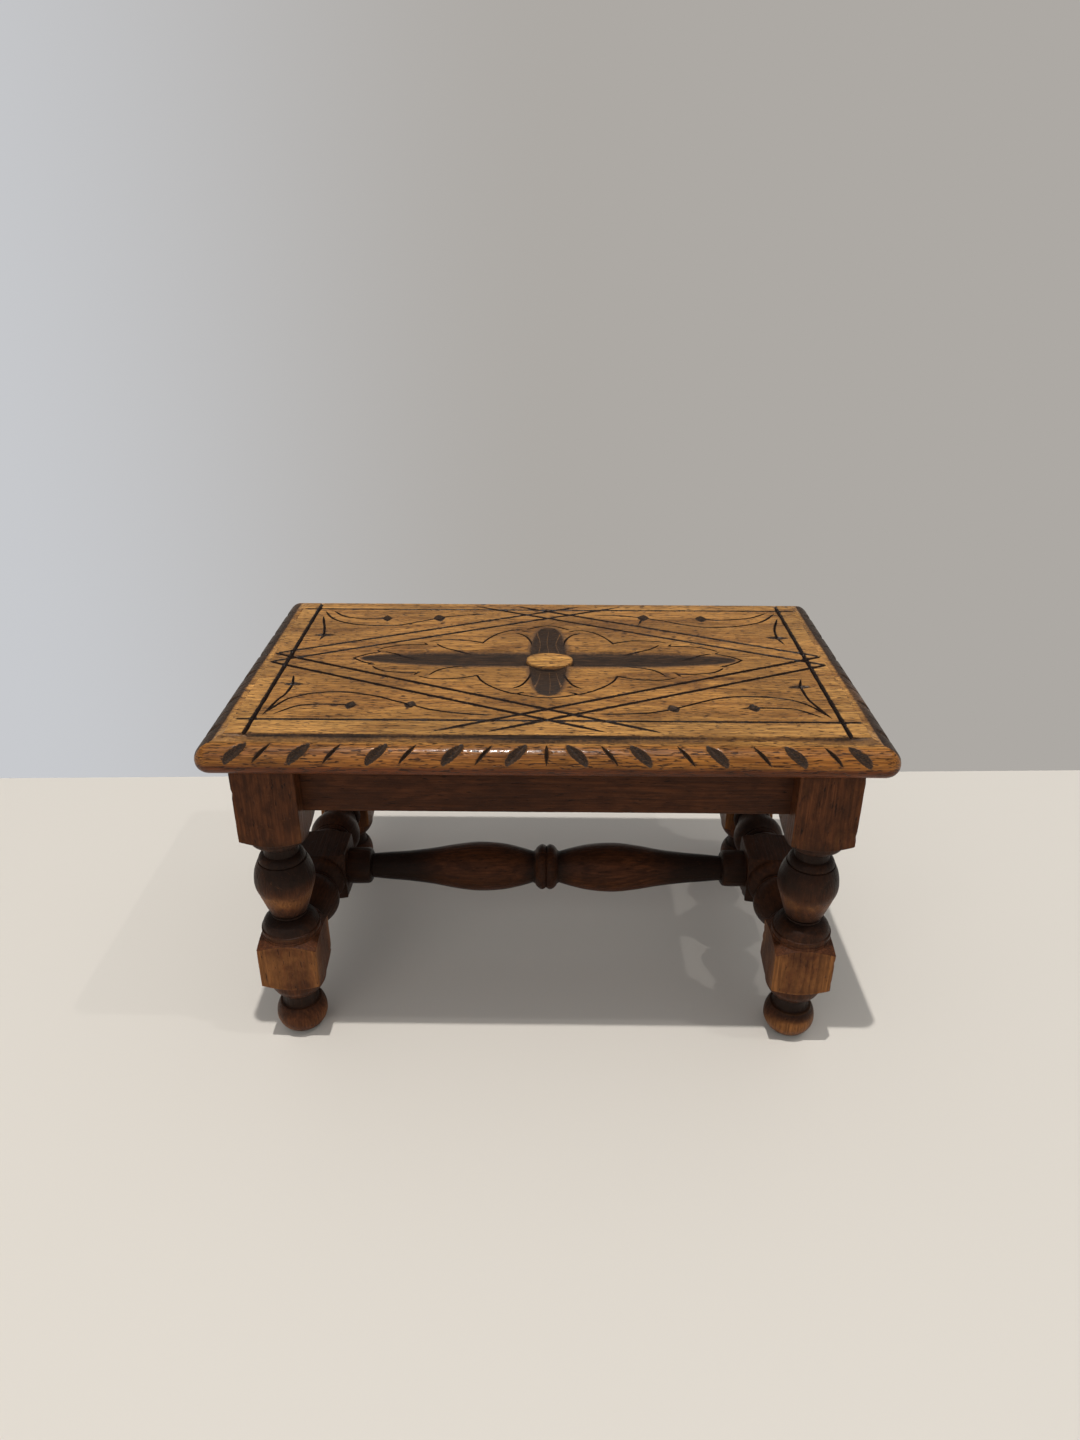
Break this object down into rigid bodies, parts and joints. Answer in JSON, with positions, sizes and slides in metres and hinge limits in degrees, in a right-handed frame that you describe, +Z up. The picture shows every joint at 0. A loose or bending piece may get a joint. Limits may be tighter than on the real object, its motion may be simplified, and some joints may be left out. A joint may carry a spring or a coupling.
{
  "type": "footstool",
  "caption": "Low rectangular wooden footstool: carved oak top with a moulded, gouged edge on turned legs joined by rails and an H of turned stretchers.",
  "frame": {"origin": "on the floor, under the middle of the top board", "axes": "+Z up; X along the length of the top; -Y towards the viewer of the long front side"},
  "size_m": [0.3514, 0.217, 0.2],
  "materials": {
    "oak_top": "satin varnish over oak, carving stained dark",
    "walnut_stain": "worn dark walnut stain, satin",
    "plain_wood": "unfinished softwood",
    "steel": "dull zinc"
  },
  "bodies": {
    "root": {"top_board": "oak_top", "leg_front_left": "walnut_stain", "leg_front_right": "walnut_stain", "leg_back_left": "walnut_stain", "leg_back_right": "walnut_stain", "rail_front": "walnut_stain", "rail_back": "walnut_stain", "rail_left": "walnut_stain", "rail_right": "walnut_stain", "stretcher_left": "walnut_stain", "stretcher_right": "walnut_stain", "stretcher_centre": "walnut_stain", "glue_block_front_left": "plain_wood", "glue_block_front_right": "plain_wood", "glue_block_back_left": "plain_wood", "glue_block_back_right": "plain_wood", "top_screws": "steel"}
  },
  "joints": []
}
